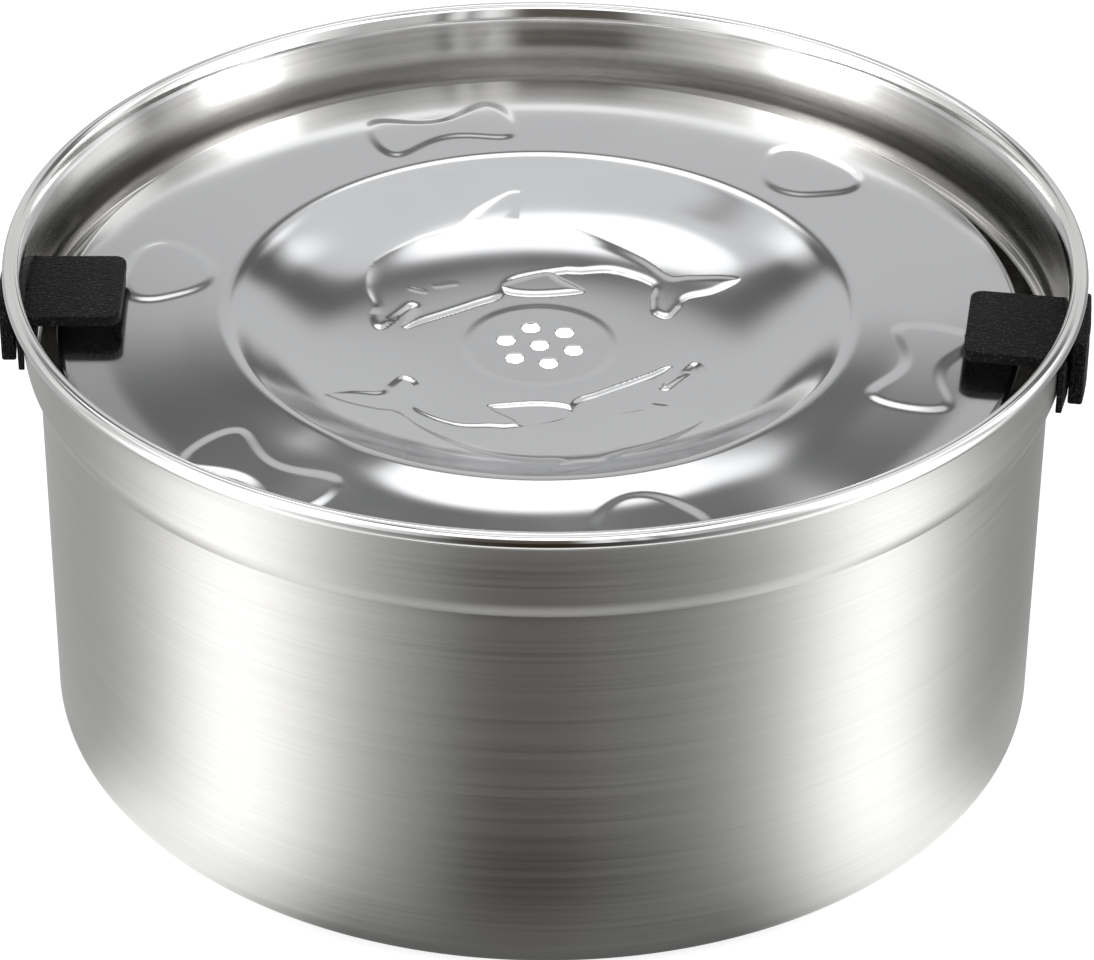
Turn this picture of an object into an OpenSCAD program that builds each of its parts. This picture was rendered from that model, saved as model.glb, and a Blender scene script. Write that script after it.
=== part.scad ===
// No-spill water bowl: a drawn steel bowl with a wide collar and a rolled rim, a hollow floating disc
// with a drinking dish and drain holes, and two sliding latches that keep the disc in the bowl.
// Millimetres, Z up, origin at the centre of the base.

/* [Bowl] */
// Outer diameter of the rolled rim
rim_d = 250; // [240:1:270]
// Height from the base to the top of the rim
bowl_h = 121.5; // [110:0.5:150]
// Thickness of the bowl's sheet
bowl_t = 0.7; // [0.5:0.1:1]
// How far the rim stands out past the collar
rim_overhang = 3.9; // [3.5:0.1:4]
// Distance from the rim's top down to the foot of the collar
collar_drop = 25.2; // [25:0.1:32]
// How far the collar stands out past the straight body wall
ledge_w = 3.3; // [2.6:0.1:4]
// Outer radius of the corner between wall and base
base_r = 8; // [5:0.5:14]
// Width of the flat ring that the bowl stands on, round the base's raised panel
foot_ring_w = 14.8; // [8:0.1:40]
// How far that panel is raised
panel_h = 1; // [0.5:0.1:2]
// Height over which the collar flares out to the rim
flare_h = 4.2; // [4:0.1:5]
// Outer radius of the rolled bead
bead_r = 2; // [1.7:0.1:2.1]

/* [Floating disc] */
// Mean gap between the floating disc's edge and the collar
disc_gap = 8.1; // [7.6:0.1:9]
// Distance from the rim's top down to the middle of the floating disc's edge
disc_drop = 17.5; // [17:0.1:19]
// How far the disc lies to the left of the bowl's axis
disc_shift = 1.2; // [0:0.1:1.5]
// How much the disc dips towards the front, in degrees
disc_tilt = 0.7; // [0:0.1:1]
// Thickness of the disc's sheet
disc_t = 0.4; // [0.3:0.1:0.6]
// Radius of the disc's turned edge
edge_r = 1.6; // [1:0.1:2]
// Height of the turned skirt at the disc's edge
skirt_h = 4; // [3:0.1:6]
// Width of the disc's border outside the drinking dish
border_w = 39.2; // [37:0.1:46]
// How much lower the lip of the dish is than the disc's edge
lip_drop = 0.7; // [0.4:0.1:2.5]
// Depth of the dish below its lip
dish_depth = 11.2; // [8:0.1:16]
// Diameter of the flat round the drain holes
drain_flat_d = 35.2; // [30:0.1:38]
// Height of the step round that flat
drain_step = 0.4; // [0.2:0.1:0.8]
// Diameter of each drain hole
drain_d = 4.2; // [3:0.1:5]
// Radius of the ring of drain holes
drain_ring_r = 8.2; // [7:0.1:10]
// Turn of the ring of drain holes
drain_turn = -15; // [-30:1:30]
// Distance from the drain holes out to the edge of the lower pan
pan_hole_gap = 3.2; // [2.5:0.1:4]
// Corner radius of the lower pan
pan_corner_r = 5; // [3:0.5:8]
// Clearance between the two halves of the disc
pan_gap = 0.1; // [0.05:0.05:0.2]

/* [Embossing] */
// Height of the embossed figures
emboss_h = 0.4; // [0.3:0.1:1]
// Distance from the dish's edge out to the middle of the bones and triangles
motif_out = 17.4; // [17:0.1:19.5]
// Turn of that circle
motif_turn = -14; // [-30:1:30]
// Length of a bone
bone_l = 36.8; // [34:0.1:40]
// Width of a bone at its waist
bone_waist = 9.4; // [8:0.1:12]
// How strongly a bone swells from its waist to its ends
bone_swell = 17; // [12:0.5:19]
// Mean radius of a rounded triangle
pick_r = 13.2; // [10:0.1:14]
// How far a rounded triangle's corners stand out
pick_lobe = 1.2; // [1:0.1:2]
// Depth of a rounded triangle as a share of its width
pick_depth = 0.82; // [0.7:0.01:1]
// Distance from the dish's edge in to the middle line of the dolphins
dolphin_in = 34.1; // [33:0.1:36]
// Half width of a dolphin's figure, without its back fin
dolphin_half_w = 14.5; // [12:0.5:15]
// Arc that a dolphin covers, in degrees
dolphin_arc = 150; // [130:1:155]
// Angle at which the first dolphin's nose lies
dolphin_nose_turn = 171; // [150:1:180]
// How much further out the second dolphin lies
second_dolphin_out = 3.5; // [0:0.1:4]
// How much further left the second dolphin lies
second_dolphin_left = 1.5; // [0:0.1:3]

/* [Latches] */
// Angle of the right latch, seen from above
right_latch_turn = -8.5; // [-20:0.5:10]
// Angle of the left latch, seen from above
left_latch_turn = 181; // [165:0.5:190]
// Distance from the rim's top down to the latch plate
plate_drop = 12; // [11:0.1:12]
// Thickness of the latch plate
plate_t = 2.5; // [2:0.1:2.6]
// Width of the latch plate
plate_w = 29; // [22:0.5:32]
// How far the latch plate reaches over the disc
plate_cover = 14.3; // [12:0.1:16]
// Corner radius of the latch plate
plate_corner_r = 3; // [1:0.5:5]
// Depth of the stop lip under the plate's tip
stop_lip_h = 1.8; // [1.2:0.1:1.8]
// Length of that stop lip
stop_lip_l = 1.5; // [1:0.1:2.5]
// How much narrower the stop lip is than the plate, at each side
stop_lip_inset = 5.5; // [4:0.1:8]
// Width of the plate's narrow outer tongue
tongue_w = 16; // [10:0.5:20]
// How far that tongue reaches back into the plate
tongue_root = 3; // [2:0.5:5]
// How far it ends short of the finger tab's outer face
tongue_end = 1; // [0.5:0.1:2]
// Gap between pieces that slide or snap together
fit_gap = 0.1; // [0.05:0.05:0.15]
// Gap between the plate and the sides of the slot
slot_gap = 0.4; // [0.2:0.1:0.6]
// Height of the guide's boss in the slot
boss_h = 3.5; // [3:0.1:4]
// How much narrower the guide's boss is than the plate, at each side
boss_inset = 0.5; // [0.2:0.1:1]
// Gap between the foot of the guide's leg and the ledge's fillet
leg_gap = 0.6; // [0.3:0.1:2]
// Thickness of the guide's leg
leg_t = 2.4; // [2:0.1:3]
// Thickness of the outer retainer
retainer_t = 1.4; // [1:0.1:2]
// Width of each retainer arm beside the slot
retainer_arm = 3; // [2:0.5:5]
// Thickness of the finger tab
tab_t = 3.4; // [2.5:0.1:4]
// How much higher the retainer's foot is than the finger tab's
retainer_lift = 1; // [0.5:0.1:2]
// Width of the finger tab
tab_w = 24; // [18:0.5:28]
// Height of the finger tab
tab_h = 16; // [12:0.5:18]
// Distance from the rim's top down to the finger tab's top
tab_drop = 9; // [7:0.5:10]
// Gap between the finger tab and the retainer
tab_gap = 0.3; // [0.2:0.1:0.5]

/* [Hidden] */
$fn = 96;
ARC_STEPS = 8;
OUTLINE_STEPS = 40;
BEAD_START = 150;
BEAD_END = -130;
rim_r = rim_d / 2;
collar_r = rim_r - rim_overhang;
body_r = collar_r - ledge_w;
panel_r = body_r - base_r - foot_ring_w;
step_r = ledge_w / 2;
step_z = bowl_h - collar_drop;
collar_in_r = collar_r - bowl_t;
bead_c = [rim_r - bead_r, bowl_h - bead_r];
disc_r = collar_in_r - disc_gap;
disc_z = bowl_h - disc_drop;
dish_r = disc_r - border_w;
lip_z = disc_z - lip_drop;
drain_flat_r = drain_flat_d / 2;
skirt_in_r = disc_r - disc_t;
pan_r = skirt_in_r - pan_gap;
pan_hole_r = drain_ring_r + drain_d / 2 + pan_hole_gap;
pan_top_z = disc_z - edge_r - pan_gap;
pan_floor_z = lip_z - dish_depth - drain_step - disc_t - pan_gap;
motif_ring_r = dish_r + motif_out;
dolphin_ring_r = dish_r - dolphin_in;
plate_tip_r = disc_r - plate_cover;
plate_z = bowl_h - plate_drop - plate_t;
slot_top = plate_z + plate_t + slot_gap;
slot_w = plate_w + 2 * slot_gap;
boss_top = plate_z - fit_gap;
boss_z = boss_top - boss_h;
slot_z = boss_z - fit_gap;
leg_z = step_z + 2 * step_r + leg_gap;
leg_out_r = collar_in_r - fit_gap;
retainer_in_r = collar_r + fit_gap;
retainer_out_r = retainer_in_r + retainer_t;
tab_in_r = retainer_out_r + tab_gap;
tab_out_r = tab_in_r + tab_t;
tab_z = bowl_h - tab_drop - tab_h;
retainer_z = tab_z + retainer_lift;
BIG = rim_d;
// How far a cutting piece goes past a face
EXTRA = 1;

STEEL = [0.72, 0.72, 0.71];
BRIGHT_STEEL = [0.80, 0.80, 0.81];
BLACK_PLASTIC = [0.09, 0.09, 0.10];

// Points of an arc from angle a0 to angle a1 round the centre c
function arc(c, r, a0, a1) =
    [for (i = [0 : ARC_STEPS]) let (a = a0 + (a1 - a0) * i / ARC_STEPS) c + r * [cos(a), sin(a)]];

// The bowl's surface at the depth d inside its sheet, from the base's centre out to the bead's end
function bowl_skin(d) = concat(
    [[0, panel_h + d], [panel_r - panel_h, panel_h + d], [panel_r, d]],
    arc([body_r - base_r, base_r], base_r - d, -90, 0),
    arc([body_r + step_r, step_z], step_r + d, 180, 90),
    arc([collar_r - step_r, step_z + 2 * step_r], step_r - d, -90, 0),
    [[collar_r - d, bowl_h - flare_h]],
    arc(bead_c, bead_r - bowl_t + d, BEAD_START, BEAD_END));

// Height of the dish's surface at the radius r
function dish_z(r) = lip_z - dish_depth * (1 - pow(r / dish_r, 4));

// The disc's upper sheet at the depth d inside it, from the drain flat out to the skirt's foot
function disc_skin(d) = concat(
    [[0, dish_z(0) - drain_step - d], [drain_flat_r - drain_step, dish_z(0) - drain_step - d]],
    [for (i = [0 : 3 * ARC_STEPS])
        let (r = drain_flat_r + (dish_r - drain_flat_r) * i / (3 * ARC_STEPS)) [r, dish_z(r) - d]],
    arc([disc_r - edge_r, disc_z - edge_r], edge_r - d, 90, 0),
    [[disc_r - d, disc_z - skirt_h]]);

// The lower pan's outside at the depth d inside its sheet
function pan_skin(d) = concat(
    [[pan_hole_r, pan_floor_z - disc_t + d]],
    arc([pan_r - pan_corner_r, pan_floor_z - disc_t + pan_corner_r], pan_corner_r - d, -90, 0),
    [[pan_r - d, pan_top_z]]);

function backward(points) = [for (i = [len(points) - 1 : -1 : 0]) points[i]];

// A bone's outline, long along Y: swelling from the waist to shallow ends with round corners
function bone_outline() = [for (i = [0 : OUTLINE_STEPS - 1])
    let (a = 360 * i / OUTLINE_STEPS)
    [(bone_waist / 2 + bone_swell * pow(sin(a), 2)) * cos(a), bone_l / 2 * sin(a)]];

// A rounded triangle's outline, with one corner towards the centre of the disc
function pick_outline() = [for (i = [0 : OUTLINE_STEPS - 1])
    let (a = 360 * i / OUTLINE_STEPS, r = pick_r + pick_lobe * cos(3 * (a - 180)))
    r * [pick_depth * cos(a), sin(a)]];

function polar(r, a) = r * [cos(a), sin(a)];

// A leaping dolphin, by hand: half widths outside its middle line and share of its arc
DOLPHIN = [
    [-0.43, 0.015], [-0.76, 0.08], [-1, 0.17], [-1.11, 0.27], [-1.09, 0.38], [-0.7, 0.46],
    [-0.45, 0.6], [-0.38, 0.65], [-0.16, 0.73], [-0.11, 0.84], [-0.4, 0.89], [-0.6, 0.95],
    [-0.46, 1], [-0.15, 0.97], [0.09, 0.945], [0.53, 0.96], [1, 0.955], [0.86, 0.925],
    [0.48, 0.88], [0.26, 0.85], [0.39, 0.77], [0.57, 0.69], [0.82, 0.61], [0.96, 0.54],
    [1, 0.505], [1.32, 0.505], [1.58, 0.515], [1.63, 0.49], [1.32, 0.435], [1, 0.39],
    [0.97, 0.31], [0.88, 0.2], [0.57, 0.13], [0.22, 0.08], [0.17, 0.04], [0.03, 0],
    [-0.14, 0], [-0.34, 0.12]
];
BREAST_FIN = [[-0.7, 0.4], [-1, 0.41], [-1.17, 0.49], [-1.15, 0.59], [-0.94, 0.69],
              [-0.83, 0.69], [-0.62, 0.61], [-0.43, 0.55]];
CURVE_STEPS = 3;

// A closed smooth curve through the points
function curve(points) = let (n = len(points)) [for (i = [0 : n - 1], k = [0 : CURVE_STEPS - 1])
    let (t = k / CURVE_STEPS, a = points[(i + n - 1) % n], b = points[i],
         c = points[(i + 1) % n], d = points[(i + 2) % n])
    0.5 * (2 * b + (c - a) * t + (2 * a - 5 * b + 4 * c - d) * t * t
           + (3 * b - a - 3 * c + d) * t * t * t)];

function figure(pairs) = curve([for (p = pairs)
    polar(dolphin_ring_r + p[0] * dolphin_half_w, dolphin_nose_turn - p[1] * dolphin_arc)]);

module dolphin_outline() {
    polygon(figure(DOLPHIN));
    polygon(figure(BREAST_FIN));
}

// The space between the disc's top surface and the embossing height above it
module emboss_layer() {
    rotate_extrude()
        polygon(concat([for (p = disc_skin(disc_t / 2)) p],
                       [[disc_r - edge_r, disc_z + emboss_h]],
                       [for (i = [3 * ARC_STEPS : -1 : 0])
                           let (r = drain_flat_r + (dish_r - drain_flat_r) * i / (3 * ARC_STEPS))
                           [r, dish_z(r) + emboss_h]],
                       [[0, dish_z(0) + emboss_h]]));
}

// Each figure's own place next to its place in the ring: outwards, round the disc, and its turn
FIGURE_SHIFTS = [[0.6, -2.2, 0], [1, -1.5, 0], [-2, 0.3, 3.5], [-1.1, 4.7, 0], [2.9, 3.2, 0], [1.6, -1.2, 0]];

module motifs() {
    for (i = [0 : 5]) let (own = FIGURE_SHIFTS[i])
        rotate(motif_turn + 60 * i + own[1])
            translate([motif_ring_r + own[0], 0])
                rotate(own[2])
                    polygon(i % 2 == 0 ? bone_outline() : pick_outline());
}

module dolphins() {
    dolphin_outline();
    translate([-second_dolphin_left, -second_dolphin_out]) rotate(180) dolphin_outline();
}

// The disc's place: shifted, and dipped about its own middle
module at_disc() {
    translate([-disc_shift, 0, disc_z]) rotate([disc_tilt, 0, 0])
        translate([0, 0, -disc_z]) children();
}

module float_top() {
    color(BRIGHT_STEEL) at_disc() difference() {
        union() {
            rotate_extrude() polygon(concat(disc_skin(0), backward(disc_skin(disc_t))));
            intersection() {
                translate([0, 0, pan_floor_z]) linear_extrude(BIG) {
                    motifs();
                    dolphins();
                }
                emboss_layer();
            }
        }
        translate([0, 0, pan_floor_z]) for (p = drain_places())
            translate(p) cylinder(d = drain_d, h = dish_depth, $fn = 32);
    }
}

function drain_places() = concat([[0, 0]], [for (i = [0 : 5]) polar(drain_ring_r, drain_turn + 60 * i)]);

module float_pan() {
    color(STEEL) at_disc() rotate_extrude()
        polygon(concat(pan_skin(0), backward(pan_skin(disc_t))));
}

// A ring sector: the part of a ring that lies within the width w of the latch's own X axis
module sector(r_in, r_out, w, z, h) {
    translate([0, 0, z]) intersection() {
        difference() {
            cylinder(r = r_out, h = h, $fn = 180);
            translate([0, 0, -EXTRA]) cylinder(r = r_in, h = h + 2 * EXTRA, $fn = 180);
        }
        translate([0, -w / 2, 0]) cube([BIG, w, h]);
    }
}

module latch_slot() {
    translate([body_r - leg_t, -slot_w / 2, slot_z])
        cube([rim_r - body_r + leg_t, slot_w, slot_top - slot_z]);
}

module bowl_shell() {
    color(STEEL) difference() {
        rotate_extrude() polygon(concat(bowl_skin(0), backward(bowl_skin(bowl_t))));
        for (turn = [right_latch_turn, left_latch_turn])
            rotate(turn) latch_slot();
    }
}

// Guide: a leg inside the collar and a boss through the slot, on which the plate slides
module latch_guide(turn) {
    color(BLACK_PLASTIC) rotate(turn) {
        sector(leg_out_r - leg_t, leg_out_r, plate_w, leg_z, boss_top - leg_z);
        sector(leg_out_r - leg_t, retainer_out_r - fit_gap, plate_w - 2 * boss_inset, boss_z, boss_h);
    }
}

// Retainer: a thin U outside the collar that snaps round the guide's boss
module latch_retainer(turn) {
    color(BLACK_PLASTIC) rotate(turn) difference() {
        sector(retainer_in_r, retainer_out_r, slot_w + 2 * retainer_arm, retainer_z, slot_top - retainer_z);
        translate([0, -slot_w / 2, boss_z - fit_gap])
            cube([BIG, slot_w, slot_top]);
    }
}

module plate_outline() {
    intersection() {
        union() {
            translate([plate_tip_r + plate_corner_r, -plate_w / 2])
                square([retainer_in_r - plate_tip_r - plate_corner_r, plate_w]);
            translate([plate_tip_r, -plate_w / 2 + plate_corner_r])
                square([plate_corner_r + 1, plate_w - 2 * plate_corner_r]);
            for (side = [-1, 1])
                translate([plate_tip_r + plate_corner_r, side * (plate_w / 2 - plate_corner_r)])
                    circle(r = plate_corner_r, $fn = 32);
        }
        circle(r = retainer_out_r, $fn = 180);
    }
    translate([retainer_in_r - tongue_root, -tongue_w / 2])
        square([tab_out_r - tongue_end - retainer_in_r + tongue_root, tongue_w]);
}

// Slider: the plate over the disc's edge, with a stop lip at its tip and a tongue through the tab
module latch_slider(turn) {
    color(BLACK_PLASTIC) rotate(turn) {
        translate([0, 0, plate_z]) linear_extrude(plate_t) plate_outline();
        translate([plate_tip_r, -plate_w / 2 + stop_lip_inset, plate_z - stop_lip_h])
            cube([stop_lip_l, plate_w - 2 * stop_lip_inset, stop_lip_h + plate_t / 2]);
    }
}

// Tab: the finger grip that is pressed on the slider's tongue outside the bowl
module latch_tab(turn) {
    color(BLACK_PLASTIC) rotate(turn) difference() {
        sector(tab_in_r, tab_out_r, tab_w, tab_z, tab_h);
        translate([0, -tongue_w / 2 - fit_gap, plate_z - fit_gap])
            cube([BIG, tongue_w + 2 * fit_gap, plate_t + 2 * fit_gap]);
    }
}

bowl_shell();
float_top();
float_pan();
latch_guide(right_latch_turn);  // right_latch_guide
latch_retainer(right_latch_turn);  // right_latch_retainer
latch_slider(right_latch_turn);  // right_latch_slider
latch_tab(right_latch_turn);  // right_latch_tab
latch_guide(left_latch_turn);  // left_latch_guide
latch_retainer(left_latch_turn);  // left_latch_retainer
latch_slider(left_latch_turn);  // left_latch_slider
latch_tab(left_latch_turn);  // left_latch_tab
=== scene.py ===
"""Looks of the no-spill water bowl: brushed bowl, pressed floating disc and grained black latches.

Lengths are millimetres in the drawing functions and metres in Blender. The frame is the part's own:
Z up from the surface the bowl stands on, the right latch towards +X, the front towards -Y.
"""

import math

import bmesh
import bpy
import numpy as np
from mathutils import Matrix, Vector
from mathutils.geometry import delaunay_2d_cdt


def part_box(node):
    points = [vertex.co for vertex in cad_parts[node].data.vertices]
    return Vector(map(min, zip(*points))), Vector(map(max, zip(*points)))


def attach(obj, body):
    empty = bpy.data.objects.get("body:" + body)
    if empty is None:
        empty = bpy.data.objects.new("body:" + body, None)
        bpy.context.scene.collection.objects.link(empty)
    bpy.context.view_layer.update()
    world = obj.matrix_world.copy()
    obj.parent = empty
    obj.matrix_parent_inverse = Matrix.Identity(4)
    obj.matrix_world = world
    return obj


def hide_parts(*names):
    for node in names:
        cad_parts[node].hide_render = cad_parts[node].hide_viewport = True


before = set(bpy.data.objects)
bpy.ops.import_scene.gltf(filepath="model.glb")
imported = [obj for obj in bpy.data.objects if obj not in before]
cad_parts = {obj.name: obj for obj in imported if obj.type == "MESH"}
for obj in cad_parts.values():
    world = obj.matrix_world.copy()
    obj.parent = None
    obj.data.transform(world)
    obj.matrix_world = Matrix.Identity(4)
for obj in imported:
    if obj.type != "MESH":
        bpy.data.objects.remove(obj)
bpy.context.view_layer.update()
MM = 0.001

# Sizes, as in the part's source
bowl_low, bowl_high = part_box("bowl_shell")
RIM_R = (bowl_high.x - bowl_low.x) / 2 / MM
BOWL_H = bowl_high.z / MM
BOWL_T = 0.7
COLLAR_R = RIM_R - 3.9
BODY_R = COLLAR_R - 3.3
STEP_Z = BOWL_H - 25.2
# The shoulder: a small bend out of the wall, a smaller one up, then a wide sweep into the collar
LEDGE_Z = STEP_Z + (COLLAR_R - BODY_R) / 2
LEDGE_R = 1.1
FOOT_R = 1.2
SWEEP_R = 8
SWEEP_TURN = 30
BASE_R = 8
# The raised panel in the middle of the base
PANEL_R = BODY_R - BASE_R - 14.8
PANEL_H = 1
PANEL_EDGE_W = 3
# The polished rim's height, and the bead that ends it: radius, and where its curl starts and ends
FLARE_H = 4.2
BEAD_R = 2
BEAD_START, BEAD_END = 150, -130
# The latches' slots: width, depth behind the wall's face, lower and upper edge
SLOT_W = 29.8
SLOT_DEPTH = 2.4
SLOT_LOW, SLOT_HIGH = 103.3, 109.9

disc_low, disc_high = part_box("float_top")
DISC_R = (disc_high.x - disc_low.x) / 2 / MM
DISC_SHIFT = (disc_high.x + disc_low.x) / 2 / MM
DISC_Z = BOWL_H - 17.5
DISC_TILT = math.radians(0.7)
DISC_T = 0.4
EDGE_R = 1.6
SKIRT_H = 4
DISH_R = DISC_R - 39.2
LIP_W = 3.5
NEAR_LIP_W = 1.3
DISH_DEPTH = 11.2
DRAIN_FLAT_R = 17.6
DRAIN_STEP = 0.11
DRAIN_D = 4.2
DRAIN_RING_R = 8.2
DRAIN_TURN = -15
# Half the width of the flat's soft step, the flat's own radius, the holes' rounded edge, and the
# points round each hole
DRAIN_STEP_W = 1.2
FLAT_R = DRAIN_FLAT_R - DRAIN_STEP_W
DRAIN_SOFT = 0.35
DRAIN_STEPS = 24
FIGURE_H = 0.25
BEVEL_W = 3.3
MOTIF_RING_R = DISH_R + 17.4
MOTIF_TURN = -14
BONE_L, BONE_WAIST, BONE_SWELL = 36.8, 9.4, 17
PICK_R, PICK_LOBE, PICK_DEPTH = 13.2, 1.2, 0.82

RIGHT_TURN, LEFT_TURN = -8.5, 181
# Where the disc's border droops most, in degrees to the right of the front, and how far to each side
FRONT_TURN = 6
FRONT_HALF_W = 31


# Mesh helpers
def add_object(name, data):
    obj = bpy.data.objects.new(name, data)
    bpy.context.scene.collection.objects.link(obj)
    return obj


def make_object(name, verts, faces, materials, smooth_angle=40, face_material=None):
    mesh = bpy.data.meshes.new(name)
    mesh.from_pydata([tuple(v) for v in verts], [], [tuple(f) for f in faces])
    for m in materials:
        mesh.materials.append(m)
    if face_material is not None:
        mesh.polygons.foreach_set("material_index", np.asarray(face_material, np.int32))
    mesh.validate()
    obj = add_object(name, mesh)
    shade_by_angle(mesh, smooth_angle)
    return obj


def shade_by_angle(mesh, degrees):
    limit = math.radians(degrees)
    bm = bmesh.new()
    bm.from_mesh(mesh)
    for f in bm.faces:
        f.smooth = True
    for e in bm.edges:
        e.smooth = len(e.link_faces) == 2 and e.calc_face_angle(0) < limit
    bm.to_mesh(mesh)
    bm.free()


def arc(centre, radius, start, end, steps):
    angles = np.radians(np.linspace(start, end, steps + 1))
    return [(centre[0] + radius * math.cos(a), centre[1] + radius * math.sin(a)) for a in angles]


def revolve(profile, count):
    """Vertices and quads of a closed profile of (radius, height) turned about Z."""
    n = len(profile)
    a = np.arange(count) * 2 * math.pi / count
    r, z = np.array(profile).T
    verts = np.stack([np.outer(np.cos(a), r), np.outer(np.sin(a), r), np.tile(z, (count, 1))], -1)
    i, j = np.meshgrid(np.arange(count), np.arange(n), indexing="ij")
    i2, j2 = (i + 1) % count, (j + 1) % n
    faces = np.stack([i * n + j, i2 * n + j, i2 * n + j2, i * n + j2], -1)
    return verts.reshape(-1, 3) * MM, faces.reshape(-1, 4)


def bowl_skin(d, steps):
    """The bowl's surface at the depth d inside its sheet, from the base's middle to the bead's end."""
    bead = (RIM_R - BEAD_R, BOWL_H - BEAD_R)
    across = (SWEEP_R - FOOT_R) * math.cos(math.radians(SWEEP_TURN))
    up = (SWEEP_R - FOOT_R) * math.sin(math.radians(SWEEP_TURN))
    return (
        [(2, PANEL_H + d), (PANEL_R - PANEL_EDGE_W, PANEL_H + d)]
        + [(PANEL_R - PANEL_EDGE_W / 3, PANEL_H * 0.7 + d), (PANEL_R, d)]
        + arc((BODY_R - BASE_R, BASE_R), BASE_R - d, -90, 0, steps)
        + [(BODY_R - d, BASE_R + (STEP_Z - BASE_R) * k / 8) for k in range(1, 8)]
        + arc((BODY_R + LEDGE_R, LEDGE_Z - LEDGE_R), LEDGE_R + d, 180, 90, steps)
        + arc((COLLAR_R - SWEEP_R + across, LEDGE_Z + FOOT_R), FOOT_R - d, -90, -SWEEP_TURN, steps)
        + arc((COLLAR_R - SWEEP_R, LEDGE_Z + FOOT_R + up), SWEEP_R - d, -SWEEP_TURN, 0, steps)[1:]
        + [(COLLAR_R - d, BOWL_H - FLARE_H - 8), (COLLAR_R - d, BOWL_H - FLARE_H)]
        + arc(bead, BEAD_R - BOWL_T + d, BEAD_START, BEAD_END, 3 * steps)
    )


def cut(obj, low, high, turn):
    """Cuts the box from low to high, turned about Z, out of obj."""
    bm = bmesh.new()
    bmesh.ops.create_cube(bm, size=1)
    size, middle = Vector(high) - Vector(low), (Vector(high) + Vector(low)) / 2
    bmesh.ops.transform(
        bm,
        matrix=Matrix.Rotation(math.radians(turn), 4, "Z")
        @ Matrix.Translation(middle * MM)
        @ Matrix.Diagonal((*(size * MM), 1)),
        verts=bm.verts,
    )
    mesh = bpy.data.meshes.new("cutter")
    bm.to_mesh(mesh)
    bm.free()
    cutter = add_object("cutter", mesh)
    boolean = obj.modifiers.new("cut", "BOOLEAN")
    boolean.object, boolean.operation, boolean.solver = cutter, "DIFFERENCE", "EXACT"
    bpy.context.view_layer.update()
    done = bpy.data.meshes.new_from_object(obj.evaluated_get(bpy.context.evaluated_depsgraph_get()))
    obj.modifiers.clear()
    old, obj.data = obj.data, done
    bpy.data.meshes.remove(old)
    bpy.data.objects.remove(cutter)


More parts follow.
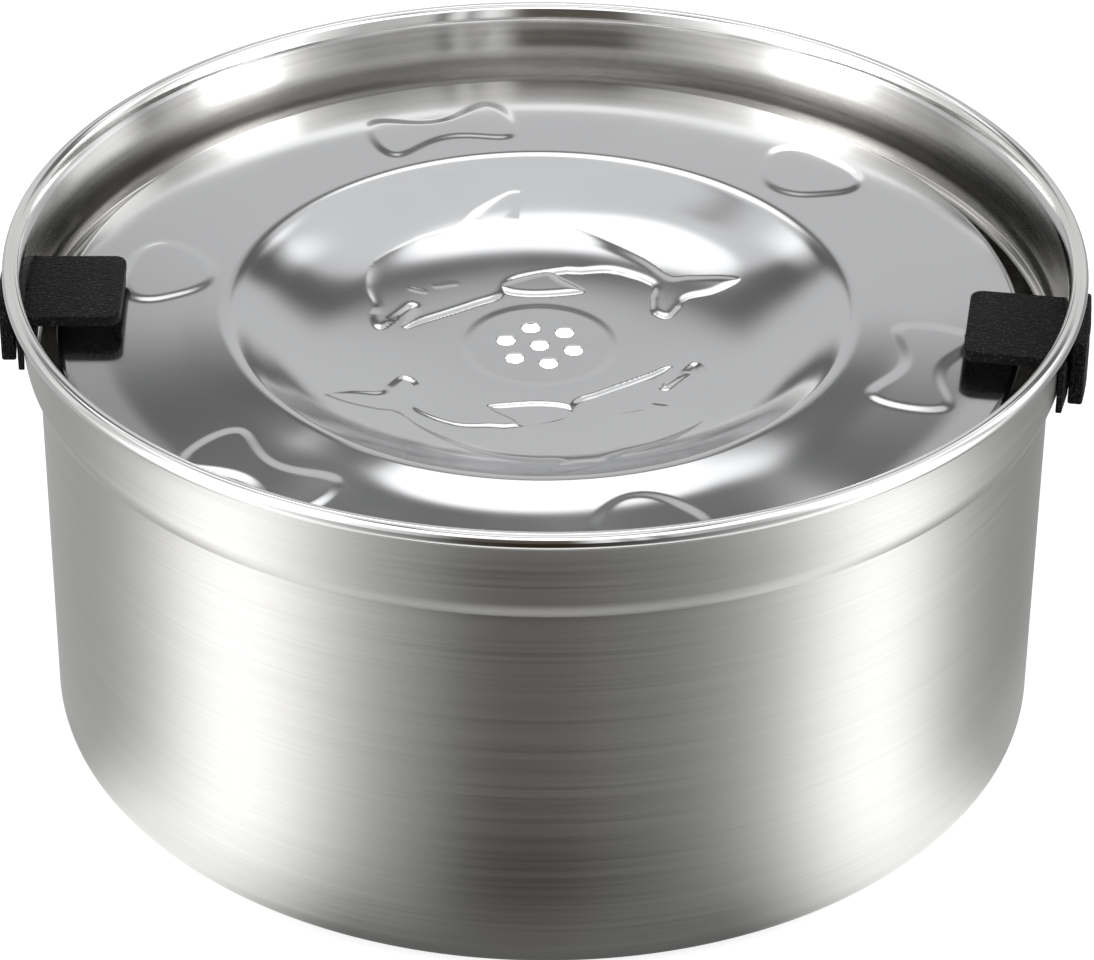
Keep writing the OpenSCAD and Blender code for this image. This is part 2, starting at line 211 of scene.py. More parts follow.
# Node helpers
class Nodes:
    """Short ways to add and link shader nodes."""

    def __init__(self, tree):
        self.tree = tree
        tree.nodes.clear()

    def add(self, kind, **settings):
        node = self.tree.nodes.new(kind)
        for key, value in settings.items():
            setattr(node, key, value)
        return node

    def link(self, a, b):
        self.tree.links.new(a, b)

    def feed(self, socket, value):
        if isinstance(value, bpy.types.NodeSocket):
            self.link(value, socket)
        else:
            socket.default_value = value

    def math(self, op, a, b=0.0, c=0.0):
        node = self.add("ShaderNodeMath", operation=op)
        for socket, value in zip(node.inputs, (a, b, c)):
            self.feed(socket, value)
        return node.outputs[0]

    def product(self, *factors):
        total = factors[0]
        for factor in factors[1:]:
            total = self.math("MULTIPLY", total, factor)
        return total

    def vector(self, op, a, b=None, scale=None):
        """The vector maths node op, for its outputs Vector or Value."""
        node = self.add("ShaderNodeVectorMath", operation=op)
        self.feed(node.inputs[0], a)
        if b is not None:
            self.feed(node.inputs[1], b)
        if scale is not None:
            self.feed(node.inputs["Scale"], scale)
        return node

    def split(self, vector):
        node = self.add("ShaderNodeSeparateXYZ")
        self.link(vector, node.inputs[0])
        return node.outputs

    def front_angle(self, x, y):
        """The angle round Z from the front, growing to the right."""
        return self.math("ARCTAN2", x, self.math("MULTIPLY", y, -1.0))

    def ramp(self, value, stops, interpolation="EASE"):
        node = self.add("ShaderNodeValToRGB")
        node.color_ramp.interpolation = interpolation
        elements = node.color_ramp.elements
        while len(elements) > 1:
            elements.remove(elements[-1])
        for k, (position, colour) in enumerate(stops):
            e = elements[0] if k == 0 else elements.new(position)
            e.position = position
            e.color = (*colour, 1) if isinstance(colour, tuple) else (colour, colour, colour, 1)
        self.link(value, node.inputs[0])
        return node.outputs[0]

    def between(self, value, low, high, out_low=0.0, out_high=1.0):
        """A smooth step from out_low at low to out_high at high."""
        node = self.add("ShaderNodeMapRange", interpolation_type="SMOOTHSTEP")
        keys = ("Value", "From Min", "From Max", "To Min", "To Max")
        for key, v in zip(keys, (value, low, high, out_low, out_high)):
            self.feed(node.inputs[key], v)
        return node.outputs[0]

    def within(self, value, low, high, edge_low, edge_high):
        """1 from low to high, falling to 0 at edge_low and edge_high."""
        rise, fall = self.between(value, edge_low, low), self.between(value, high, edge_high, 1.0, 0.0)
        return self.product(rise, fall)

    def blend(self, factor, a, b):
        """Colour a where the factor is 0 and colour b where it is 1."""
        node = self.add("ShaderNodeMix", data_type="RGBA")
        self.feed(node.inputs[0], factor)
        for socket, value in ((node.inputs[6], a), (node.inputs[7], b)):
            grey = isinstance(value, (int, float))
            self.feed(socket, (value, value, value, 1) if grey else value)
        return node.outputs[2]

    def noise(self, vector, detail, roughness=0.5):
        node = self.add("ShaderNodeTexNoise")
        self.link(vector, node.inputs["Vector"])
        node.inputs["Scale"].default_value = 1.0
        node.inputs["Detail"].default_value = detail
        node.inputs["Roughness"].default_value = roughness
        return node.outputs["Fac"]

    def stretched(self, sx, sy, sz, turn=0.0):
        """Object coordinates scaled along each axis."""
        coords = self.add("ShaderNodeTexCoord")
        mapping = self.add("ShaderNodeMapping")
        mapping.inputs["Scale"].default_value = (sx, sy, sz)
        mapping.inputs["Rotation"].default_value = (0, turn, 0)
        self.link(coords.outputs["Object"], mapping.inputs["Vector"])
        return mapping.outputs["Vector"]

    def bump(self, height, distance, normal=None):
        node = self.add("ShaderNodeBump")
        self.link(height, node.inputs["Height"])
        node.inputs["Distance"].default_value = distance
        node.inputs["Strength"].default_value = 1.0
        if normal is not None:
            self.link(normal, node.inputs["Normal"])
        return node.outputs["Normal"]

    def principled(self, **settings):
        shader = self.add("ShaderNodeBsdfPrincipled")
        output = self.add("ShaderNodeOutputMaterial")
        self.link(shader.outputs[0], output.inputs[0])
        for key, value in settings.items():
            self.feed(shader.inputs[key.replace("_", " ")], value)
        return shader


def new_material(name):
    material = bpy.data.materials.new(name)
    material.use_nodes = True
    return material, Nodes(material.node_tree)


# Materials
def brush_round(n, shader):
    """Lays the shader's grain round the Z axis, so that it blurs up and down."""
    tangent = n.add("ShaderNodeTangent", direction_type="RADIAL", axis="Z")
    n.link(tangent.outputs[0], shader.inputs["Tangent"])
    shader.inputs["Anisotropic Rotation"].default_value = 0.25


def brushed_steel():
    """Satin steel, brushed round the wall: fine level streaks, blurred up and down."""
    material, n = new_material("brushed_steel_wall")
    fine = n.noise(n.stretched(16, 16, 4200), 4, 0.62)
    long = n.noise(n.stretched(7, 7, 900, 0.015), 3, 0.55)
    tint = n.ramp(fine, [(0.25, (0.585, 0.58, 0.56)), (0.75, (0.665, 0.66, 0.64))])
    rough = n.between(long, 0.25, 0.75, 0.30, 0.36)
    shader = n.principled(Base_Color=tint, Metallic=1.0, Roughness=rough, Anisotropic=0.85)
    n.link(n.bump(fine, 0.000004), shader.inputs["Normal"])
    brush_round(n, shader)
    return material


def inner_steel():
    """The inside of the wall: turned bright, with faint rings."""
    material, n = new_material("turned_steel_inside")
    rings = n.noise(n.stretched(3, 3, 900), 3, 0.6)
    tint = n.ramp(rings, [(0.3, (0.61, 0.60, 0.58)), (0.7, (0.68, 0.67, 0.65))])
    rough = n.between(rings, 0.3, 0.7, 0.14, 0.17)
    shader = n.principled(Base_Color=tint, Metallic=1.0, Roughness=rough, Anisotropic=1.0)
    n.link(n.bump(rings, 0.000008), shader.inputs["Normal"])
    brush_round(n, shader)
    return material


def polished_steel():
    """The rim's bead."""
    material, n = new_material("polished_steel_rim")
    cloud = n.noise(n.stretched(40, 40, 40), 1)
    rough = n.between(cloud, 0.3, 0.7, 0.07, 0.12)
    tint = n.ramp(cloud, [(0.3, (0.82, 0.82, 0.81)), (0.7, (0.87, 0.87, 0.86))])
    n.principled(Base_Color=tint, Metallic=1.0, Roughness=rough)
    return material


def leaning_normal(n):
    """The disc's normal, with its border leaning outwards a little at both sides of the front."""
    coords, geometry = n.add("ShaderNodeTexCoord"), n.add("ShaderNodeNewGeometry")
    flat = n.vector("MULTIPLY", coords.outputs["Object"], (1, 1, 0)).outputs[0]
    radius = n.math("DIVIDE", n.vector("LENGTH", flat).outputs["Value"], MM)
    x, y, _ = n.split(flat)
    away = n.math("SUBTRACT", n.math("MULTIPLY", n.front_angle(x, y), 180 / math.pi), FRONT_TURN)
    sides = n.math("ADD", n.within(away, 36, 75, 20, 95), n.within(away, -75, -50, -95, -38))
    lean = n.product(sides, n.within(radius, 70, 99, 64, 105), n.between(radius, 80, 88, 0.06, 0.045))
    tilt = n.vector("SCALE", n.vector("NORMALIZE", flat).outputs[0], scale=lean).outputs[0]
    total = n.vector("ADD", geometry.outputs["Normal"], tilt).outputs[0]
    return n.vector("NORMALIZE", total).outputs[0]


def pressed_steel():
    """The disc's bright sheet: near mirror, very slightly wavy, with tiny specks."""
    material, n = new_material("pressed_steel_disc")
    wave = n.noise(n.stretched(14, 14, 14), 0)
    haze = n.noise(n.stretched(30, 30, 30), 2)
    specks = n.add("ShaderNodeTexVoronoi", feature="F1")
    n.link(n.stretched(110, 110, 110), specks.inputs["Vector"])
    speck = n.between(specks.outputs["Distance"], 0.02, 0.05, 1.0, 0.0)
    tint = n.ramp(haze, [(0.3, (0.655, 0.66, 0.67)), (0.7, (0.675, 0.68, 0.69))])
    rough = n.between(haze, 0.3, 0.7, 0.11, 0.13)
    rough = n.math("ADD", rough, n.math("MULTIPLY", speck, 0.4))
    shader = n.principled(Base_Color=tint, Metallic=1.0, Roughness=rough)
    n.link(n.bump(wave, 0.0002, leaning_normal(n)), shader.inputs["Normal"])
    return material


def black_plastic():
    """Moulded black plastic with a fine grain."""
    material, n = new_material("grained_black_plastic")
    grain = n.noise(n.stretched(1500, 1500, 1500), 2, 0.6)
    tint = n.ramp(grain, [(0.45, 0.001), (0.58, 0.004), (0.72, (0.060, 0.061, 0.062))])
    shader = n.principled(Base_Color=tint, Roughness=0.4)
    shader.inputs["Specular IOR Level"].default_value = 0.1
    n.link(n.bump(grain, 0.0012), shader.inputs["Normal"])
    return material


WALL, INSIDE, RIM = brushed_steel(), inner_steel(), polished_steel()
DISC = pressed_steel()
PLASTIC = black_plastic()


# The bowl
def build_bowl():
    steps = 20
    inner, outer = bowl_skin(BOWL_T, steps), bowl_skin(0, steps)
    profile = inner + outer[::-1]
    count = 400
    verts, faces = revolve(profile, count)
    kind = []
    for j, start in enumerate(profile):
        z = (start[1] + profile[(j + 1) % len(profile)][1]) / 2
        if z > BOWL_H - FLARE_H - 0.01:
            kind.append(RIM)
        else:
            kind.append(WALL if j >= len(inner) else INSIDE)
    metals = [WALL, INSIDE, RIM]
    index = np.tile([metals.index(metal) for metal in kind], count)
    obj = make_object("bowl", verts, faces, metals, 50, index)
    # The middle of the base, inside and outside
    bm = bmesh.new()
    bm.from_mesh(obj.data)
    holes = [e for e in bm.edges if len(e.link_faces) == 1]
    bmesh.ops.holes_fill(bm, edges=holes, sides=0)
    bmesh.ops.recalc_face_normals(bm, faces=bm.faces)
    bm.to_mesh(obj.data)
    bm.free()
    for turn in (RIGHT_TURN, LEFT_TURN):
        cut(obj, (BODY_R - SLOT_DEPTH, -SLOT_W / 2, SLOT_LOW), (RIM_R, SLOT_W / 2, SLOT_HIGH), turn)
    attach(obj, "bowl")
    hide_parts("bowl_shell")


# The embossed figures
def smooth_curve(points, steps):
    """A closed curve through the points."""
    p = np.array(points, float)
    out = []
    for k in range(len(p)):
        a, b, c, d = p[k - 1], p[k], p[(k + 1) % len(p)], p[(k + 2) % len(p)]
        square, cube = 2 * a - 5 * b + 4 * c - d, 3 * b - a - 3 * c + d
        for s in np.arange(steps) / steps:
            out.append(0.5 * (2 * b + (c - a) * s + square * s**2 + cube * s**3))
    return np.array(out)


def bone():
    """Long along Y: swelling from the waist to shallow ends with round corners."""
    a = np.radians(np.arange(0, 360, 4))
    half_w = BONE_WAIST / 2 + BONE_SWELL * np.sin(a) ** 2
    return np.stack([half_w * np.cos(a), BONE_L / 2 * np.sin(a)], -1)


def pick():
    """A rounded triangle with one corner towards the centre of the disc."""
    a = np.radians(np.arange(0, 360, 4))
    r = PICK_R + PICK_LOBE * np.cos(3 * (a - math.pi))
    return np.stack([PICK_DEPTH * r * np.cos(a), r * np.sin(a)], -1)


def turned(points, degrees):
    c, s = math.cos(math.radians(degrees)), math.sin(math.radians(degrees))
    return points @ np.array([[c, s], [-s, c]])


# A dolphin lies along an arc: its radius, half its width, where the nose is and how far it runs
DOLPHIN_RING, DOLPHIN_HALF_W, DOLPHIN_NOSE, DOLPHIN_ARC = DISH_R - 34.1, 14.5, 171, 150
# The second one is turned by half a turn, and set off by this much
SECOND_DOLPHIN = (-1.5, -3.5)
# Each bone's or triangle's own place: outwards from the ring, round the disc, and its turn
FIGURE_SHIFTS = [
    (0.6, -2.2, 0), (1, -1.5, 0), (-2, 0.3, 3.5), (-1.1, 4.7, 0), (2.9, 3.2, 0), (1.6, -1.2, 0),
]
# Half widths outside the dolphin's middle line and share of its arc, as in the part's source
DOLPHIN = [
    (-0.43, 0.015), (-0.76, 0.08), (-1, 0.17), (-1.11, 0.27), (-1.09, 0.38), (-0.7, 0.46),
    (-0.45, 0.6), (-0.38, 0.65), (-0.16, 0.73), (-0.11, 0.84), (-0.4, 0.89), (-0.6, 0.95),
    (-0.46, 1), (-0.15, 0.97), (0.09, 0.945), (0.53, 0.96), (1, 0.955), (0.86, 0.925),
    (0.48, 0.88), (0.26, 0.85), (0.39, 0.77), (0.57, 0.69), (0.82, 0.61), (0.96, 0.54),
    (1, 0.505), (1.32, 0.505), (1.58, 0.515), (1.63, 0.49), (1.32, 0.435), (1, 0.39),
    (0.97, 0.31), (0.88, 0.2), (0.57, 0.13), (0.22, 0.08), (0.17, 0.04), (0.03, 0),
    (-0.14, 0), (-0.34, 0.12),
]
BREAST_FIN = [
    (-0.7, 0.4), (-1, 0.41), (-1.17, 0.49), (-1.15, 0.59), (-0.94, 0.69), (-0.83, 0.69),
    (-0.62, 0.61), (-0.43, 0.55),
]
# Eye and mouth lines: (radius, angle) of both ends, half width and depth
STROKES = [
    ((38.5, 143), (35.6, 141.5), 1.3, 0.045),
    ((35.1, 135), (33.3, 128), 1.3, 0.045),
    ((34.2, 153), (36.8, 165), 1.2, 0.06),
]


def figure(pairs):
    """The closed outline of a figure that is laid along the dolphin's arc."""
    out = []
    for k, s in pairs:
        r, a = DOLPHIN_RING + k * DOLPHIN_HALF_W, math.radians(DOLPHIN_NOSE - s * DOLPHIN_ARC)
        out.append((r * math.cos(a), r * math.sin(a)))
    return smooth_curve(out, 12)


def depth_inside(points, outline):
    """Signed distance of each point to the closed outline, positive inside."""
    a, b = outline, np.roll(outline, -1, 0)
    best = np.full(len(points), 1e9)
    inside = np.zeros(len(points), bool)
    x, y = points.T
    for (ax, ay), (bx, by) in zip(a, b):
        dx, dy = bx - ax, by - ay
        t = np.clip(((x - ax) * dx + (y - ay) * dy) / (dx * dx + dy * dy + 1e-12), 0, 1)
        best = np.minimum(best, (x - ax - t * dx) ** 2 + (y - ay - t * dy) ** 2)
        if dy != 0:
            inside ^= ((ay > y) != (by > y)) & (x < dx * (y - ay) / dy + ax)
    return np.where(inside, 1, -1) * np.sqrt(best)


def smoothstep(t):
    t = np.clip(t, 0, 1)
    return t * t * (3 - 2 * t)


def dolphin_relief(points, strokes):
    """One dolphin's height over the dish at each point of its own, unturned frame.

    The belly side has a crisp edge, and the face falls off towards the back, which runs into the dish.
    """
    r, a = np.hypot(*points.T), np.degrees(np.arctan2(points[:, 1], points[:, 0]))
    # k runs across the figure, from -1 at the belly to 1 at the back
    k = (r - DOLPHIN_RING) / DOLPHIN_HALF_W
    back = smoothstep((k - 0.15) / 0.35) * smoothstep((1.15 - k) / 0.15)
    back *= smoothstep((a - DOLPHIN_NOSE + 0.88 * DOLPHIN_ARC) / 10)
    # The slope's width, and the height of the face over the dish
    soft = 3.0 + 3.0 * back
    level = 0.24 + 0.2 * smoothstep((0.9 - k) / 1.8)
    height = np.zeros(len(points))
    for outline in (figure(DOLPHIN), figure(BREAST_FIN)):
        low, high = outline.min(0) - 1, outline.max(0) + 1
        near = np.where(((points > low) & (points < high)).all(1))[0]
        t = np.clip(depth_inside(points[near], outline) / soft[near], 0, 1)
        height[near] = np.maximum(height[near], level[near] * (1 - (1 - t) ** 3))
    for (r0, a0), (r1, a1), half, depth in STROKES:
        start, end = turned(np.array([r0, 0]), a0), turned(np.array([r1, 0]), a1)
        along = end - start
        t = np.clip((points - start) @ along / (along @ along), 0, 1)
        gap = np.hypot(*(points - start - t[:, None] * along).T)
        height -= strokes * depth * smoothstep(1 - gap / half)
    return height


def emboss(points):
    """Height of the embossed figures above the sheet at each point of the disc."""
    height = np.zeros(len(points))
    for i, (out, on, own) in enumerate(FIGURE_SHIFTS):
        outline = turned(bone() if i % 2 == 0 else pick(), own) + (MOTIF_RING_R + out, 0)
        outline = turned(outline, MOTIF_TURN + 60 * i + on)
        low, high = outline.min(0) - 3, outline.max(0) + 3
        near = np.where(((points > low) & (points < high)).all(1))[0]
        d = depth_inside(points[near], outline)
        # The slope starts a third of its width outside the outline
        rise = FIGURE_H * smoothstep((d + 0.35 * BEVEL_W) / BEVEL_W)
        height[near] = np.maximum(height[near], rise)
    inside = np.where(np.hypot(*points.T) < DISH_R)[0]
    # The first dolphin is raised and the second one pressed in, as they catch the light
    height[inside] += dolphin_relief(points[inside], 1.0)
    height[inside] -= dolphin_relief(turned(points[inside] - SECOND_DOLPHIN, 180), 2.5)
    return height


# The disc
def sheet_profile(half_w):
    """Radii and heights of the disc's upper surface, with a roll at the dish's lip."""
    r = np.linspace(0, DISC_R, 2400)
    slope = 4 * DISH_DEPTH / DISH_R * (r / DISH_R) ** 3
    slope *= 1 - smoothstep((r - DISH_R + 1 + half_w) / (2 * half_w))
    z = np.concatenate([[0], np.cumsum((slope[1:] + slope[:-1]) / 2 * np.diff(r))])
    return r, z - z[-1]


PROFILE_R, FAR_PROFILE = sheet_profile(LIP_W)
NEAR_PROFILE = sheet_profile(NEAR_LIP_W)[1]


def sheet_height(r, y=None):
    """The disc's upper surface over its own plane, without figures. The lip is crisper at the front."""
    near, far = np.interp(r, PROFILE_R, NEAR_PROFILE), np.interp(r, PROFILE_R, FAR_PROFILE)
    # The share of the wide roll: none at the front and in the middle of the dish, all of it at the back
    share = 0
    if y is not None:
        share = smoothstep((y / np.maximum(r, 1) + 0.9) / 1.3) * smoothstep((r - 30) / 20)
    z = near + (far - near) * share
    return z - DRAIN_STEP * smoothstep((DRAIN_FLAT_R + DRAIN_STEP_W - r) / (2 * DRAIN_STEP_W))


# The border's slope towards the front: steep next to the dish, gentle further out and flat at the edge
FALL_R = np.linspace(DISH_R + 1, DISC_R, 200)
FALL_SLOPE = (
    0.04 + 0.11 * (1 - smoothstep((FALL_R - 78) / 10)) - 0.04 * smoothstep((FALL_R - 98) / 10)
)
FALL = np.concatenate([[0], np.cumsum((FALL_SLOPE[1:] + FALL_SLOPE[:-1]) / 2 * np.diff(FALL_R))])


def border_fall(points):
    """The pressed border droops a little towards the front, most of all next to the dish."""
    r = np.hypot(*points.T)
    cosine = -points[:, 1] / np.maximum(r, 1)
    away = np.degrees(np.arctan2(points[:, 0], -points[:, 1])) - FRONT_TURN
    # A small part of it fades all the way to the back, and the rest ends at both sides of the front
    share = 0.3 * ((1 + cosine) / 2) ** 1.5 + 0.7 * np.exp(-((away / FRONT_HALF_W) ** 4))
    return share * np.interp(r, FALL_R, FALL)


def circle_points(radius, count, centre=(0, 0)):
    a = np.arange(count) * 2 * math.pi / count
    return np.column_stack([centre[0] + radius * np.cos(a), centre[1] + radius * np.sin(a)])


def ring_faces(rows, count, start=0, flip=False):
    """Quads between rows of count points each, closed round the ring."""
    i, j = np.meshgrid(np.arange(rows - 1), np.arange(count), indexing="ij")
    j2 = (j + 1) % count
    corners = [i * count + j, (i + 1) * count + j, (i + 1) * count + j2, i * count + j2]
    if flip:
        corners = [corners[0], corners[3], corners[2], corners[1]]
    return [tuple(f) for f in start + np.stack(corners, -1).reshape(-1, 4)]


def sheet_rings(count, spacing):
    """The sheet from the drain's flat out over the edge, down the skirt and back underneath."""
    radii = np.concatenate([
        np.arange(FLAT_R, DISH_R - 5, spacing),
        np.linspace(DISH_R - 5, DISH_R + 3, 28),
        np.arange(DISH_R + 3.5, DISC_R - EDGE_R, spacing),
    ])
    grid = np.concatenate([circle_points(r, count) for r in radii])
    z = sheet_height(np.hypot(*grid.T), grid[:, 1]) + emboss(grid) - border_fall(grid)
    verts = [np.column_stack([grid, z])]
    centre = (DISC_R - EDGE_R, -EDGE_R)
    edge = arc(centre, EDGE_R, 90, 0, 8) + [(DISC_R, -SKIRT_H), (DISC_R - DISC_T, -SKIRT_H)]
    edge += arc(centre, EDGE_R - DISC_T, 0, 90, 6)
    # The rings of the lower surface lie closest where the lip bends
    under = (90, 80, 76, 74, 72, 70, 66, 60, 50, 40, 30, 20, FLAT_R)
    edge += [(r, float(sheet_height(np.array(r))) - DISC_T) for r in under]
    for r, h in edge:
        ring = circle_points(r, count)
        verts.append(np.column_stack([ring, h - border_fall(ring)]))
    faces = ring_faces(len(radii) + len(edge), count)
    return [tuple(v) for v in np.concatenate(verts)], faces


def drain_flat(verts, faces, places, count):
    """Adds the flat round the drain holes, above and below, with the holes left out."""
    outlines = [circle_points(FLAT_R, count)]
    outlines += [circle_points(DRAIN_D / 2 + DRAIN_SOFT, DRAIN_STEPS, place) for place in places]
    points, edges = [], []
    for outline in outlines:
        n = len(outline)
        edges += [(len(points) + k, len(points) + (k + 1) % n) for k in range(n)]
        points += [Vector(p) for p in outline]
    found, _, triangles, *_ = delaunay_2d_cdt(points, edges, [], 1, 1e-6)
    found = np.array([tuple(v) for v in found])
    for side in (0, 1):
        start = len(verts)
        level = sheet_height(np.hypot(*found.T)) - DISC_T * side
        verts += [(x, y, h) for (x, y), h in zip(found, level)]
        for t in triangles:
            cx, cy = found[list(t)].mean(0)
            nearest = min(math.hypot(cx - px, cy - py) for px, py in places)
            if nearest >= DRAIN_D / 2 + DRAIN_SOFT - 0.02:
                faces.append(tuple(start + k for k in (t if side == 0 else t[::-1])))


def drain_lips(verts, faces, places):
    """Adds each drain hole's wall, with the upper edge rounded."""
    base = float(sheet_height(np.array(0.0)))
    lip = [
        (DRAIN_SOFT, 0), (0.75 * DRAIN_SOFT, -0.02), (0.3 * DRAIN_SOFT, -0.08), (0, -0.2),
        (0.1 * DRAIN_SOFT, -DISC_T * 0.8), (DRAIN_SOFT, -DISC_T),
    ]
    for place in places:
        faces += ring_faces(len(lip), DRAIN_STEPS, len(verts), flip=True)
        for out, down in lip:
            for x, y in circle_points(DRAIN_D / 2 + out, DRAIN_STEPS, place):
                verts.append((x, y, base + down))


def build_disc():
    spacing, count = ((0.5, 960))
    turns = np.radians(DRAIN_TURN + 60 * np.arange(6))
    places = [(0, 0)] + [(DRAIN_RING_R * math.cos(t), DRAIN_RING_R * math.sin(t)) for t in turns]
    verts, faces = sheet_rings(count, spacing)
    drain_flat(verts, faces, places, count)
    drain_lips(verts, faces, places)
    obj = make_object("disc_sheet", verts, faces, [DISC], 60)
    place = Matrix.Translation((DISC_SHIFT * MM, 0, DISC_Z * MM)) @ Matrix.Rotation(DISC_TILT, 4, "X")
    obj.data.transform(place @ Matrix.Scale(MM, 4))
    bm = bmesh.new()
    bm.from_mesh(obj.data)
    bmesh.ops.remove_doubles(bm, verts=bm.verts, dist=0.00002)
    bm.to_mesh(obj.data)
    bm.free()
    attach(obj, "float")
    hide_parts("float_top")


# The latches
def build_latch_pieces():
    """Each latch piece is its CAD solid with the edges rounded as moulded plastic has them.

    The third value is the width of the rounding in millimetres.
    """
    flat, limit = math.radians(4), math.radians(30)
    for side in ("right", "left"):
        for part, body, width in (
            ("guide", "bowl", 0.25),
            ("retainer", "bowl", 0.25),
            ("slider", side + "_latch", 0.55),
            ("tab", side + "_latch", 0.6),
        ):
            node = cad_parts[f"{side}_latch_{part}"]
            bm = bmesh.new()
            bm.from_mesh(node.data)
            bmesh.ops.remove_doubles(bm, verts=bm.verts, dist=1e-6)
            bmesh.ops.dissolve_limit(bm, angle_limit=flat, verts=bm.verts, edges=bm.edges)
            sharp = [e for e in bm.edges if len(e.link_faces) == 2 and e.calc_face_angle(0) > limit]
            bmesh.ops.bevel(
                bm, geom=sharp, offset=width * MM, offset_type="OFFSET", segments=4, profile=0.5,
                affect="EDGES", clamp_overlap=True,
            )
            mesh = bpy.data.meshes.new(f"{side}_{part}")
            bm.to_mesh(mesh)
            bm.free()
            mesh.materials.clear()
            mesh.materials.append(PLASTIC)
            obj = add_object(f"{side}_{part}", mesh)
            for p in mesh.polygons:
                p.material_index = 0
            shade_by_angle(mesh, 35)
            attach(obj, body)
            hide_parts(node.name)


# Studio
def studio_colour(n):
    """The studio's brightness in each direction, as the photograph's reflections show it."""
    coords = n.add("ShaderNodeTexCoord")
    x, y, z = n.split(coords.outputs["Generated"])
    degrees = 180 / math.pi
    height = n.math("MULTIPLY", n.math("ARCSINE", z), degrees)
    turn = n.math("MULTIPLY_ADD", n.front_angle(x, y), 1 / (2 * math.pi), 0.5)
    aside = n.math("MULTIPLY", n.math("ARCTAN2", x, y), degrees)
    wide = n.math("ABSOLUTE", aside)

    # Round the bowl: below the horizon for the outer wall, above it for the inner wall
    def around(levels):
        return n.ramp(turn, [(0.5 + a / 360, v) for a, v in levels], "LINEAR")

    warm = (0.03, 0.02, 0.014)
    low = around([
        (-179, 0.6), (-140, 0.5), (-118, 0.45), (-106, 0.62), (-94, 1.0), (-84, 1.62), (-76, 1.75),
        (-66, 1.55), (-52, 0.95), (-38, 0.46), (-26, 0.25), (-16, 0.06), (-6, warm), (6, warm),
        (16, 0.065), (28, 0.16), (38, 0.30), (52, 0.58), (64, 1.10), (76, 1.60), (86, 1.85),
        (96, 1.2), (106, 0.66), (118, 0.35), (140, 0.3), (179, 0.6),
    ])
    high = around([
        (-179, 0.6), (-134, 0.5), (-120, 1.2), (-110, 1.0), (-101, 0.6), (-88, 0.9), (-78, 1.8),
        (-71, 4.8), (-57, 4.8), (-48, 1.8), (-38, 1.1), (-29, 0.72), (-24, 0.58),
        (-16, (0.10, 0.09, 0.08)), (5.5, (0.09, 0.075, 0.06)), (10, 0.8), (12.5, 0.98), (15, 0.6),
        (16.7, 0.26), (18.5, 0.9), (20, 0.9), (22.2, 0.16), (23.3, 0.18), (25.5, 0.6), (41, 0.46),
        (51, 0.85), (60, 1.6), (65, 4.8), (77, 4.8), (84, 1.5), (98, 0.5), (115, 2.0),
    ])

    # Behind the bowl: a grey backdrop, a dark gap over it, then a pale ceiling with white boxes
    def patch(across, up, half_w, half_h, edge):
        """A soft rectangle, 1 inside and 0 outside."""
        factors = []
        for value, middle, half in ((aside, across, half_w), (height, up, half_h)):
            off = n.math("SUBTRACT", n.math("ABSOLUTE", n.math("SUBTRACT", value, middle)), half)
            factors.append(n.between(off, -edge, edge, 1.0, 0.0))
        return n.product(*factors)

    lift = n.math("MULTIPLY", patch(-22, 40, 9, 30, 6), 2.0)
    lift = n.math("MULTIPLY_ADD", patch(2, 40, 8, 30, 4), 3.4, lift)
    level = n.math("SUBTRACT", height, lift)
    lower = n.math("MULTIPLY", n.between(aside, 24, 34), 4.0)
    back = n.blend(n.between(n.math("ADD", level, lower), 29, 35), 0.69, 0.13)
    back = n.blend(n.between(level, 40, 42.5), back, 0.84)
    for place, brightness in (
        ((-46, 57.5, 14, 2.5, 4), 0.42),
        ((-40, 42.5, 6, 4, 5), 1.6),
        ((33, 43.3, 5, 3, 4), 1.5),
    ):
        back = n.blend(patch(*place), back, brightness)

    # The large white box behind and above: a rounded shape by the sum of two powers
    def power(value, middle, half):
        offset = n.math("MULTIPLY_ADD", value, 1 / half, -middle / half)
        return n.math("POWER", n.math("ABSOLUTE", offset), 2.6)

    large_box = n.math("ADD", power(aside, -5, 17.5), power(height, 51.5, 9.5))
    back = n.blend(n.between(large_box, 0.75, 1.3, 1.0, 0.0), back, 1.7)
    slant = n.math("MULTIPLY_ADD", height, -0.55, wide)
    flank = n.product(n.within(slant, 5, 9.5, 2, 13), n.between(height, 12, 18, 1.0, 0.0))
    back = n.blend(flank, back, 0.12)

    # Overhead, in front
    over = n.blend(n.between(height, 36, 46), high, 1.6)
    over = n.blend(n.within(height, 72, 77, 69, 80), over, 0.15)
    over = n.blend(n.between(height, 77, 80), over, 1.3)
    under = n.blend(n.between(height, -62, -50), 0.95, low)
    sides = n.blend(n.between(height, -4, 6), under, over)
    total = n.blend(n.between(wide, 58, 78), n.blend(n.between(height, -3, 2), under, back), sides)
    return n.blend(patch(62, 30, 12, 11, 6), total, 2.0)


def build_world():
    world = bpy.data.worlds.new("studio")
    bpy.context.scene.world = world
    world.use_nodes = True
    n = Nodes(world.node_tree)
    path = n.add("ShaderNodeLightPath")
    studio, white = n.add("ShaderNodeBackground"), n.add("ShaderNodeBackground")
    n.link(studio_colour(n), studio.inputs["Color"])
    white.inputs["Color"].default_value = (1, 1, 1, 1)
    mix, output = n.add("ShaderNodeMixShader"), n.add("ShaderNodeOutputWorld")
    n.link(path.outputs["Is Camera Ray"], mix.inputs[0])
    n.link(studio.outputs[0], mix.inputs[1])
    n.link(white.outputs[0], mix.inputs[2])
    n.link(mix.outputs[0], output.inputs[0])


# The floors lie just under the base, the glowing sheet with painted shade above the pale one; metres
FLOOR_HALF = 4
FLOOR_Z = -0.0002
SHADE_R = 0.14
SHADE_Z = -0.0001


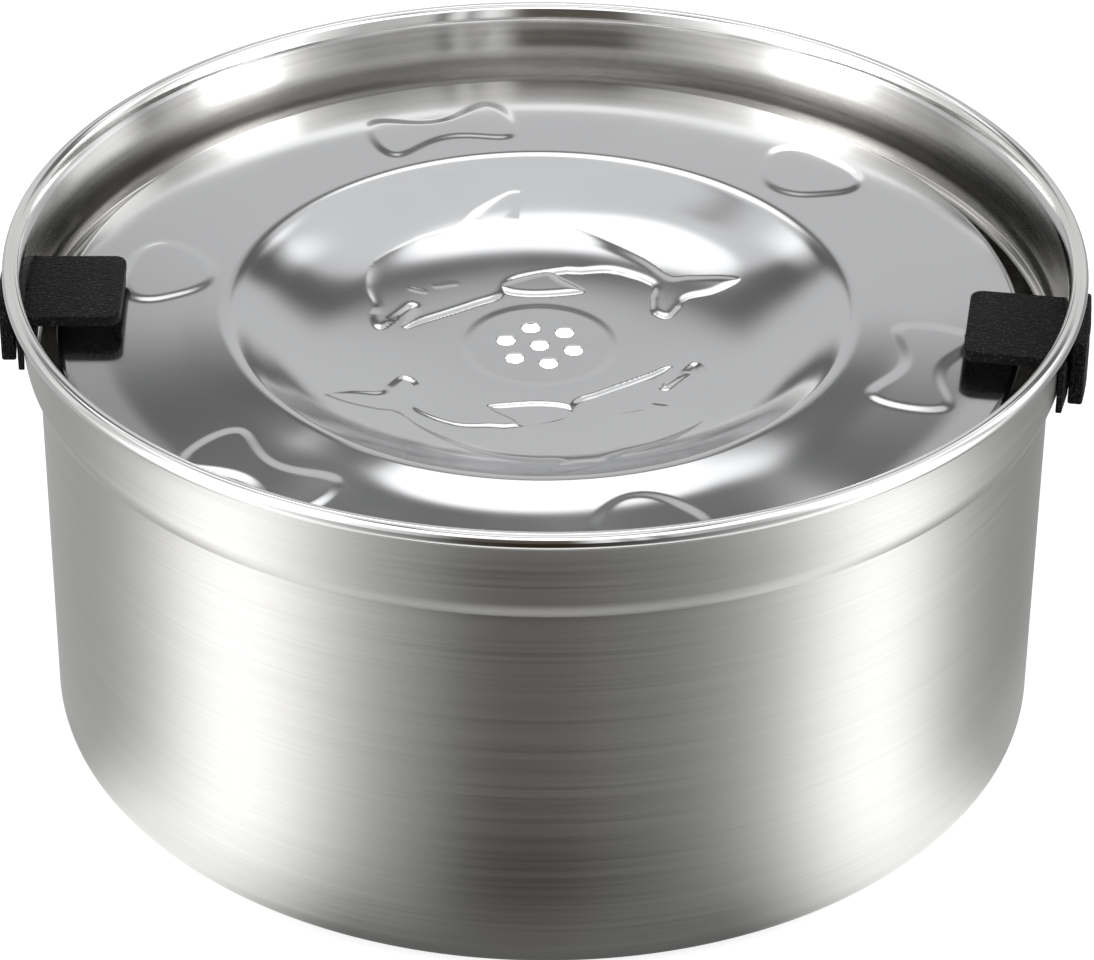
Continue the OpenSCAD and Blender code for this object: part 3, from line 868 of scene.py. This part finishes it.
def build_floor():
    """A pale floor that keeps the bowl's shadow and is white to the camera."""
    material, n = new_material("pale_floor")
    diffuse, glow = n.add("ShaderNodeBsdfDiffuse"), n.add("ShaderNodeEmission")
    diffuse.inputs["Color"].default_value = (0.36, 0.36, 0.36, 1)
    path = n.add("ShaderNodeLightPath")
    n.link(n.math("MULTIPLY", path.outputs["Is Camera Ray"], 0.8), glow.inputs["Strength"])
    total, output = n.add("ShaderNodeAddShader"), n.add("ShaderNodeOutputMaterial")
    n.link(diffuse.outputs[0], total.inputs[0])
    n.link(glow.outputs[0], total.inputs[1])
    n.link(total.outputs[0], output.inputs[0])
    verts = [(x * FLOOR_HALF, y * FLOOR_HALF, FLOOR_Z) for x, y in ((-1, -1), (1, -1), (1, 1), (-1, 1))]
    floor = make_object("floor", verts, [(0, 1, 2, 3)], [material])
    floor.visible_glossy = False

    # A glowing sheet next to the bowl, seen only in reflections: painted shade in front of the bowl and
    # painted light at its sides, for the wall's foot to mirror
    shade, n = new_material("painted_shade_and_glow_floor")
    glow, output = n.add("ShaderNodeEmission"), n.add("ShaderNodeOutputMaterial")
    x, y, _ = n.split(n.add("ShaderNodeTexCoord").outputs["Object"])
    side = n.math("ABSOLUTE", n.front_angle(x, y))
    # The glow's colour is painted shade in front of the bowl, rising to painted light at both sides
    level = n.product(n.between(side, 0.38, 0.85, 0.14, 1.35), n.between(side, 0.95, 1.3, 1.0, 0.4))
    n.link(level, glow.inputs["Color"])
    n.link(glow.outputs[0], output.inputs[0])
    turns = np.radians(np.arange(0, 360, 5))
    ring = [(SHADE_R * math.cos(a), SHADE_R * math.sin(a), SHADE_Z) for a in turns]
    near = make_object("painted_shade_sheet_near_the_bowl", ring, [tuple(range(len(ring)))], [shade])
    near.visible_camera = near.visible_diffuse = near.visible_shadow = near.visible_transmission = False


def build_lamp():
    """A tiny lamp low inside the bowl, for the light that shows through the drain holes."""
    data = bpy.data.lights.new("light_through_the_holes", "AREA")
    data.shape, data.size, data.size_y = "RECTANGLE", 0.06, 0.035
    data.spread = math.radians(70)
    data.energy = 0.055
    lamp = add_object("light_through_the_holes", data)
    lamp.location = (0, 0.045, 0.0245)
    lamp.rotation_euler = (math.radians(59), 0, 0)
    lamp.visible_camera = False


# The camera, solved from the photograph: the sensor's width in millimetres, the picture's width and the
# focal length in pixels, the distance from the rim's middle in metres, and the angles in degrees
SENSOR_W = 36
IMAGE_W = 1094
FOCAL_PIXELS = 4324
CAMERA_AWAY = 1.0
CAMERA_RISE, CAMERA_TILT, CAMERA_TURN, CAMERA_ROLL = 29.48, 57.35, -0.05, 0.45


def build_camera():
    data = bpy.data.cameras.new("photo_camera")
    data.sensor_fit, data.sensor_width = "HORIZONTAL", SENSOR_W
    data.lens = SENSOR_W * FOCAL_PIXELS / IMAGE_W
    data.clip_start, data.clip_end = 0.01, 100
    camera = add_object("photo_camera", data)
    rise = math.radians(CAMERA_RISE)
    camera.location = (0, -CAMERA_AWAY * math.cos(rise), CAMERA_AWAY * math.sin(rise) + BOWL_H * MM)
    turn, tilt, roll = (
        Matrix.Rotation(math.radians(angle), 3, axis)
        for angle, axis in ((CAMERA_TURN, "Z"), (CAMERA_TILT, "X"), (CAMERA_ROLL, "Z"))
    )
    camera.rotation_mode = "QUATERNION"
    camera.rotation_quaternion = (turn @ tilt @ roll).to_quaternion()
    bpy.context.scene.camera = camera


bpy.context.scene.view_settings.view_transform = "Standard"
build_camera()
build_world()
build_floor()
build_lamp()
build_bowl()
build_disc()
build_latch_pieces()
for material_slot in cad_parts["float_pan"].material_slots:
    material_slot.material = DISC
